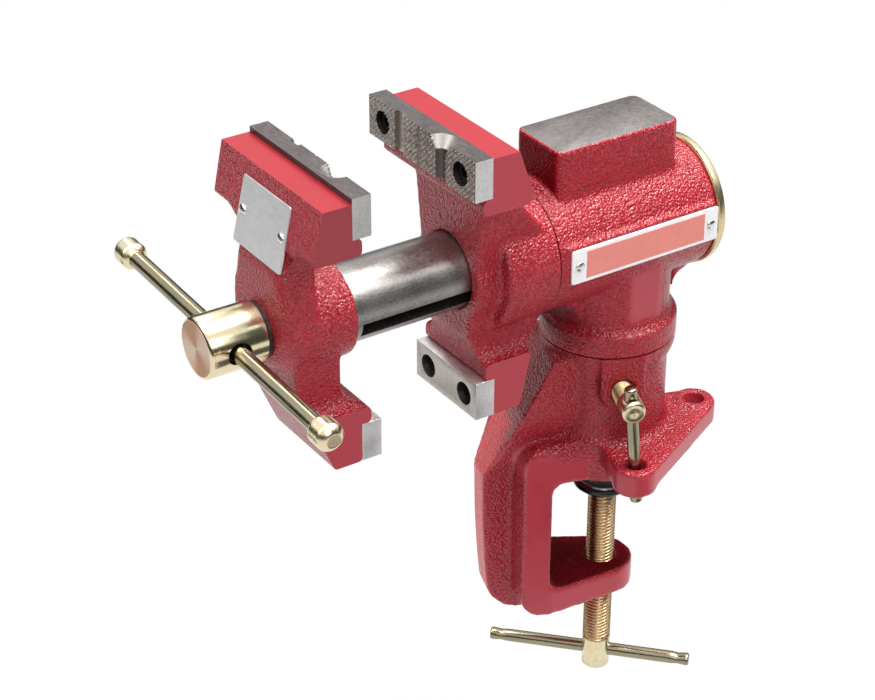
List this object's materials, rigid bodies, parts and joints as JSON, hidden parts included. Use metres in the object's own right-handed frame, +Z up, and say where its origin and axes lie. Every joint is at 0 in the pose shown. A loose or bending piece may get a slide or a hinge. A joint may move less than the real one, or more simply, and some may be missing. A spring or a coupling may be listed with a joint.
{
  "type": "clamp vise",
  "caption": "Small clamp-on bench vise with swivel base, rotating head, upper and lower jaws on a keyed slide tube, anvil and tommy-bar screws.",
  "frame": {"origin": "on the swivel axis, in the bench seat (the ceiling of the clamp throat)", "axes": "+Z up along the swivel axis, -Y along the spindle towards its handle, +X to the right seen from the handle"},
  "size_m": [0.139, 0.208, 0.2528],
  "materials": {
    "cast_paint": "glossy hammered red paint over cast iron",
    "jaw_steel": "ground and knurled hardened steel",
    "dark_steel": "dark oiled steel",
    "plain_steel": "turned steel",
    "yellow_zinc": "yellow zinc plated steel",
    "plate_metal": "thin bright sheet"
  },
  "bodies": {
    "base": {"base_casting": "cast_paint"},
    "clamp_pad": {"clamp_pad": "dark_steel"},
    "clamp_screw": {"clamp_screw": "yellow_zinc"},
    "clamp_bar": {"clamp_bar": "yellow_zinc"},
    "swivel_lock": {"swivel_lock_screw": "yellow_zinc"},
    "swivel_lock_bar": {"swivel_lock_bar": "yellow_zinc"},
    "head": {"head_body": "cast_paint", "side_plate": "plate_metal", "side_plate_rivets": "plate_metal"},
    "head_lock": {"head_lock_screw": "yellow_zinc"},
    "head_lock_bar": {"head_lock_bar": "yellow_zinc"},
    "rear_jaw": {"rear_jaw": "cast_paint", "rear_cap": "yellow_zinc", "rear_upper_plate": "jaw_steel", "rear_upper_screws": "dark_steel", "rear_lower_plate": "jaw_steel", "rear_lower_screws": "dark_steel", "spindle_nut": "plain_steel", "nut_key": "plain_steel"},
    "sliding_jaw": {"sliding_jaw": "cast_paint", "slide_tube": "dark_steel", "sliding_upper_plate": "jaw_steel", "sliding_upper_screws": "dark_steel", "sliding_lower_plate": "jaw_steel", "sliding_lower_screws": "dark_steel", "data_plate": "plate_metal", "data_plate_rivets": "plate_metal"},
    "spindle": {"spindle": "yellow_zinc", "thrust_washer": "plain_steel", "spindle_collar": "plain_steel", "collar_pin": "dark_steel"},
    "handle": {"handle_bar": "yellow_zinc", "handle_knobs": "yellow_zinc"}
  },
  "joints": [
    {"name": "swivel", "type": "hinge", "parent": "base", "child": "head", "pos_m": [0, 0, 0.0539], "axis": [0, 0, 1], "continuous": true},
    {"name": "head_rotation", "type": "hinge", "parent": "head", "child": "rear_jaw", "pos_m": [0, 0, 0.0972], "axis": [0, 1, 0], "continuous": true},
    {"name": "jaw_slide", "type": "slide", "parent": "rear_jaw", "child": "sliding_jaw", "axis": [0, 1, 0], "range_m": [-0.022, 0.038]},
    {"name": "screw_turn", "type": "hinge", "parent": "sliding_jaw", "child": "spindle", "pos_m": [0, -0.143, 0.0972], "axis": [0, 1, 0], "range_deg": [-1971, 3411]},
    {"name": "handle_slide", "type": "slide", "parent": "spindle", "child": "handle", "axis": [0.9995, 0, -0.0332], "range_m": [-0.0468, 0.05]},
    {"name": "pad_travel", "type": "slide", "parent": "base", "child": "clamp_pad", "axis": [0, 0, 1], "range_m": [-0.03, 0.0109]},
    {"name": "clamp_turn", "type": "hinge", "parent": "clamp_pad", "child": "clamp_screw", "pos_m": [0.00031, 0.00095, -0.0164], "axis": [0, 0, 1], "range_deg": [-7176, 2592]},
    {"name": "clamp_bar_slide", "type": "slide", "parent": "clamp_screw", "child": "clamp_bar", "axis": [0.7193, 0.6947, 0], "range_m": [-0.027, 0.032]},
    {"name": "swivel_lock_turn", "type": "hinge", "parent": "base", "child": "swivel_lock", "pos_m": [0.0331, -0.01337, 0.0398], "axis": [0.9272, -0.3746, 0], "range_deg": [-1, 1]},
    {"name": "swivel_lock_bar_slide", "type": "slide", "parent": "swivel_lock", "child": "swivel_lock_bar", "axis": [-0.0326, -0.0808, 0.9962], "range_m": [0, 0.0305]},
    {"name": "head_lock_turn", "type": "hinge", "parent": "head", "child": "head_lock", "pos_m": [-0.0352, 0.004, 0.0902], "axis": [-1, 0, 0], "range_deg": [-180, 180]},
    {"name": "head_lock_bar_slide", "type": "slide", "parent": "head_lock", "child": "head_lock_bar", "axis": [0, 1, 0], "range_m": [-0.015, 0.015]}
  ],
  "couplings": [
    {"joint": "jaw_slide", "follows": "screw_turn", "m_per_rad": 0.00063662},
    {"joint": "pad_travel", "follows": "clamp_turn", "m_per_rad": 0.00023873}
  ]
}
